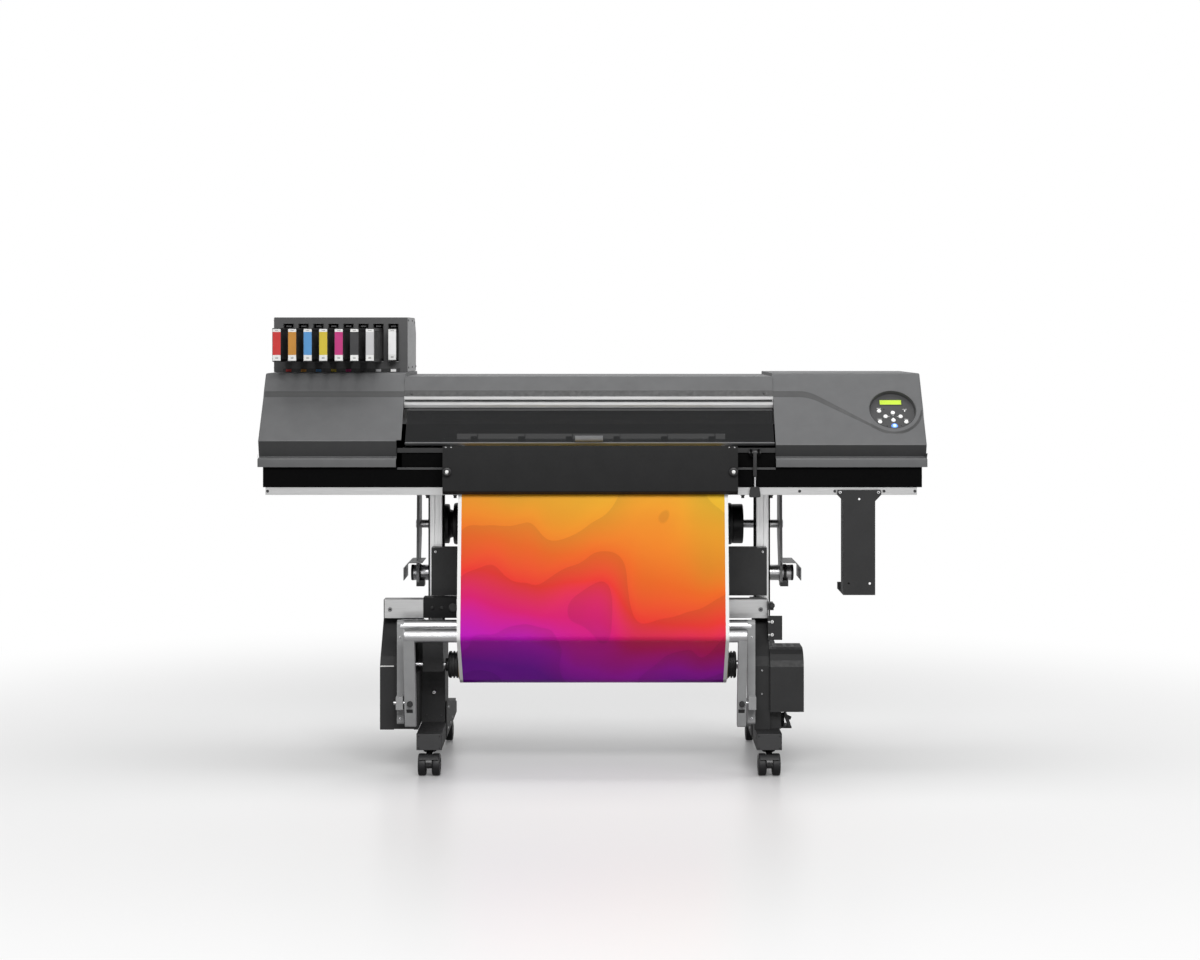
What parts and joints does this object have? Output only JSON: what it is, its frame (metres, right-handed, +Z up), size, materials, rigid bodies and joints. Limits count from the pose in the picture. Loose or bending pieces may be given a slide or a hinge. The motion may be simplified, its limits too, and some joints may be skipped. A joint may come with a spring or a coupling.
{
  "type": "printer cutter",
  "caption": "Wide-format roll printer and cutter on a wheeled stand, with side ink unit, tinted window, control panel, media over a front pipe and a take-up roll.",
  "frame": {"origin": "on the floor, at the middle of the overall width and depth", "axes": "+X to the right seen from the front, +Y to the back, +Z up"},
  "size_m": [1.905, 0.7578, 1.299],
  "materials": {
    "cover_grey": "fine textured",
    "aluminium": "brushed",
    "smoked_window": "tinted clear",
    "black_steel": "satin",
    "dark_steel": "satin",
    "grey_steel": "satin",
    "dark_plastic": "fine textured",
    "black_plastic": "matte",
    "belt_rubber": "matte",
    "media": "smooth",
    "button_white": "satin",
    "button_blue": "lit",
    "cartridge": "moulded",
    "caster_plastic": "moulded",
    "caster_tyre": "matte"
  },
  "bodies": {
    "frame": {"left_cover": "cover_grey", "right_cover": "cover_grey", "top_cover": "cover_grey", "top_frame": "aluminium", "front_rail": "aluminium", "guide_rail": "aluminium", "left_leg": "aluminium", "right_leg": "aluminium", "takeup_beam": "aluminium", "rear_roll_holder": "aluminium", "chassis": "black_steel", "left_foot_beam": "dark_steel", "right_foot_beam": "dark_steel", "stand_cross_beam": "dark_steel", "front_apron": "dark_steel", "drain_bottle_bracket": "dark_steel", "platen": "grey_steel", "upper_guide": "grey_steel", "capping_station": "dark_plastic", "panel_bezel": "dark_plastic", "ink_unit_case": "dark_plastic", "takeup_left_housing": "dark_plastic", "takeup_right_housing": "dark_plastic", "drive_belt": "belt_rubber", "media_web": "media"},
    "window": {"window_cover": "smoked_window"},
    "lever": {"media_lever": "dark_plastic"},
    "pinch_rollers": {"pinch_roller_bar": "grey_steel"},
    "print_head": {"print_carriage": "black_plastic"},
    "cutter": {"cutting_carriage": "dark_plastic"},
    "grit": {"grit_roller": "grey_steel"},
    "takeup": {"takeup_shaft": "black_plastic", "takeup_roll": "media"},
    "supply": {"supply_shaft": "black_plastic", "supply_roll": "media"},
    "dancer": {"dancer_frame": "grey_steel"},
    "key_up": {"button_up": "button_white"},
    "key_down": {"button_down": "button_white"},
    "key_left": {"button_left": "button_white"},
    "key_right": {"button_right": "button_white"},
    "key_menu": {"button_menu": "button_white"},
    "key_pause": {"button_pause": "button_white"},
    "key_enter": {"button_enter": "button_white"},
    "key_power": {"button_power": "button_blue"},
    "cartridge_1": {"ink_cartridge_1": "cartridge"},
    "cartridge_2": {"ink_cartridge_2": "cartridge"},
    "cartridge_3": {"ink_cartridge_3": "cartridge"},
    "cartridge_4": {"ink_cartridge_4": "cartridge"},
    "cartridge_5": {"ink_cartridge_5": "cartridge"},
    "cartridge_6": {"ink_cartridge_6": "cartridge"},
    "cartridge_7": {"ink_cartridge_7": "cartridge"},
    "cartridge_8": {"ink_cartridge_8": "cartridge"},
    "swivel_front_left": {"caster_body_front_left": "caster_plastic"},
    "wheels_front_left": {"caster_wheels_front_left": "caster_tyre"},
    "swivel_rear_left": {"caster_body_rear_left": "caster_plastic"},
    "wheels_rear_left": {"caster_wheels_rear_left": "caster_tyre"},
    "swivel_front_right": {"caster_body_front_right": "caster_plastic"},
    "wheels_front_right": {"caster_wheels_front_right": "caster_tyre"},
    "swivel_rear_right": {"caster_body_rear_right": "caster_plastic"},
    "wheels_rear_right": {"caster_wheels_rear_right": "caster_tyre"}
  },
  "joints": [
    {"name": "window_hinge", "type": "hinge", "parent": "frame", "child": "window", "pos_m": [0, -0.15263, 1.03162], "axis": [-1, 0, 0], "range_deg": [0, 95]},
    {"name": "media_lever_pivot", "type": "hinge", "parent": "frame", "child": "lever", "pos_m": [0.4615, -0.26608, 0.912], "axis": [-1, 0, 0], "range_deg": [0, 40]},
    {"name": "pinch_lift", "type": "hinge", "parent": "frame", "child": "pinch_rollers", "pos_m": [0, 0.00392, 0.961], "axis": [-1, 0, 0], "range_deg": [0, 10]},
    {"name": "print_carriage_slide", "type": "slide", "parent": "frame", "child": "print_head", "axis": [1, 0, 0], "range_m": [-1.2, 0]},
    {"name": "cutting_carriage_slide", "type": "slide", "parent": "frame", "child": "cutter", "axis": [1, 0, 0], "range_m": [0, 1.24]},
    {"name": "grit_roller_spin", "type": "hinge", "parent": "frame", "child": "grit", "pos_m": [0, -0.03107, 0.913], "axis": [1, 0, 0], "continuous": true},
    {"name": "takeup_spin", "type": "hinge", "parent": "frame", "child": "takeup", "pos_m": [0, -0.20608, 0.302], "axis": [1, 0, 0], "continuous": true},
    {"name": "supply_spin", "type": "hinge", "parent": "frame", "child": "supply", "pos_m": [0, 0.23392, 0.67], "axis": [1, 0, 0], "continuous": true},
    {"name": "dancer_swing", "type": "hinge", "parent": "frame", "child": "dancer", "pos_m": [0, -0.30607, 0.208], "axis": [1, 0, 0], "range_deg": [-12, 15], "deforming": ["media_web"]},
    {"name": "button_up_press", "type": "slide", "parent": "frame", "child": "key_up", "axis": [0, 0.7778, -0.6285], "range_m": [0, 0.0012], "stiffness_N_per_m": 500},
    {"name": "button_down_press", "type": "slide", "parent": "frame", "child": "key_down", "axis": [0, 0.7778, -0.6285], "range_m": [0, 0.0012], "stiffness_N_per_m": 500},
    {"name": "button_left_press", "type": "slide", "parent": "frame", "child": "key_left", "axis": [0, 0.7778, -0.6285], "range_m": [0, 0.0012], "stiffness_N_per_m": 500},
    {"name": "button_right_press", "type": "slide", "parent": "frame", "child": "key_right", "axis": [0, 0.7778, -0.6285], "range_m": [0, 0.0012], "stiffness_N_per_m": 500},
    {"name": "button_menu_press", "type": "slide", "parent": "frame", "child": "key_menu", "axis": [0, 0.7778, -0.6285], "range_m": [0, 0.0012], "stiffness_N_per_m": 500},
    {"name": "button_pause_press", "type": "slide", "parent": "frame", "child": "key_pause", "axis": [0, 0.7778, -0.6285], "range_m": [0, 0.0012], "stiffness_N_per_m": 500},
    {"name": "button_enter_press", "type": "slide", "parent": "frame", "child": "key_enter", "axis": [0, 0.7778, -0.6285], "range_m": [0, 0.0012], "stiffness_N_per_m": 500},
    {"name": "button_power_press", "type": "slide", "parent": "frame", "child": "key_power", "axis": [0, 0.7778, -0.6285], "range_m": [0, 0.0012], "stiffness_N_per_m": 500},
    {"name": "cartridge_1_slide", "type": "slide", "parent": "frame", "child": "cartridge_1", "axis": [0, -1, 0], "range_m": [0, 0.14]},
    {"name": "cartridge_2_slide", "type": "slide", "parent": "frame", "child": "cartridge_2", "axis": [0, -1, 0], "range_m": [0, 0.14]},
    {"name": "cartridge_3_slide", "type": "slide", "parent": "frame", "child": "cartridge_3", "axis": [0, -1, 0], "range_m": [0, 0.14]},
    {"name": "cartridge_4_slide", "type": "slide", "parent": "frame", "child": "cartridge_4", "axis": [0, -1, 0], "range_m": [0, 0.14]},
    {"name": "cartridge_5_slide", "type": "slide", "parent": "frame", "child": "cartridge_5", "axis": [0, -1, 0], "range_m": [0, 0.14]},
    {"name": "cartridge_6_slide", "type": "slide", "parent": "frame", "child": "cartridge_6", "axis": [0, -1, 0], "range_m": [0, 0.14]},
    {"name": "cartridge_7_slide", "type": "slide", "parent": "frame", "child": "cartridge_7", "axis": [0, -1, 0], "range_m": [0, 0.14]},
    {"name": "cartridge_8_slide", "type": "slide", "parent": "frame", "child": "cartridge_8", "axis": [0, -1, 0], "range_m": [0, 0.14]},
    {"name": "caster_front_left_swivel", "type": "hinge", "parent": "frame", "child": "swivel_front_left", "pos_m": [-0.4614, -0.26708, 0.06], "axis": [0, 0, 1], "continuous": true},
    {"name": "caster_front_left_wheels", "type": "hinge", "parent": "swivel_front_left", "child": "wheels_front_left", "pos_m": [-0.4614, -0.28908, 0.031], "axis": [1, 0, 0], "continuous": true},
    {"name": "caster_rear_left_swivel", "type": "hinge", "parent": "frame", "child": "swivel_rear_left", "pos_m": [-0.4614, 0.30292, 0.06], "axis": [0, 0, 1], "continuous": true},
    {"name": "caster_rear_left_wheels", "type": "hinge", "parent": "swivel_rear_left", "child": "wheels_rear_left", "pos_m": [-0.4614, 0.28092, 0.031], "axis": [1, 0, 0], "continuous": true},
    {"name": "caster_front_right_swivel", "type": "hinge", "parent": "frame", "child": "swivel_front_right", "pos_m": [0.4999, -0.26708, 0.06], "axis": [0, 0, 1], "continuous": true},
    {"name": "caster_front_right_wheels", "type": "hinge", "parent": "swivel_front_right", "child": "wheels_front_right", "pos_m": [0.4999, -0.28908, 0.031], "axis": [1, 0, 0], "continuous": true},
    {"name": "caster_rear_right_swivel", "type": "hinge", "parent": "frame", "child": "swivel_rear_right", "pos_m": [0.4999, 0.30292, 0.06], "axis": [0, 0, 1], "continuous": true},
    {"name": "caster_rear_right_wheels", "type": "hinge", "parent": "swivel_rear_right", "child": "wheels_rear_right", "pos_m": [0.4999, 0.28092, 0.031], "axis": [1, 0, 0], "continuous": true}
  ],
  "couplings": [
    {"joint": "pinch_lift", "follows": "media_lever_pivot", "ratio": 0.25}
  ]
}
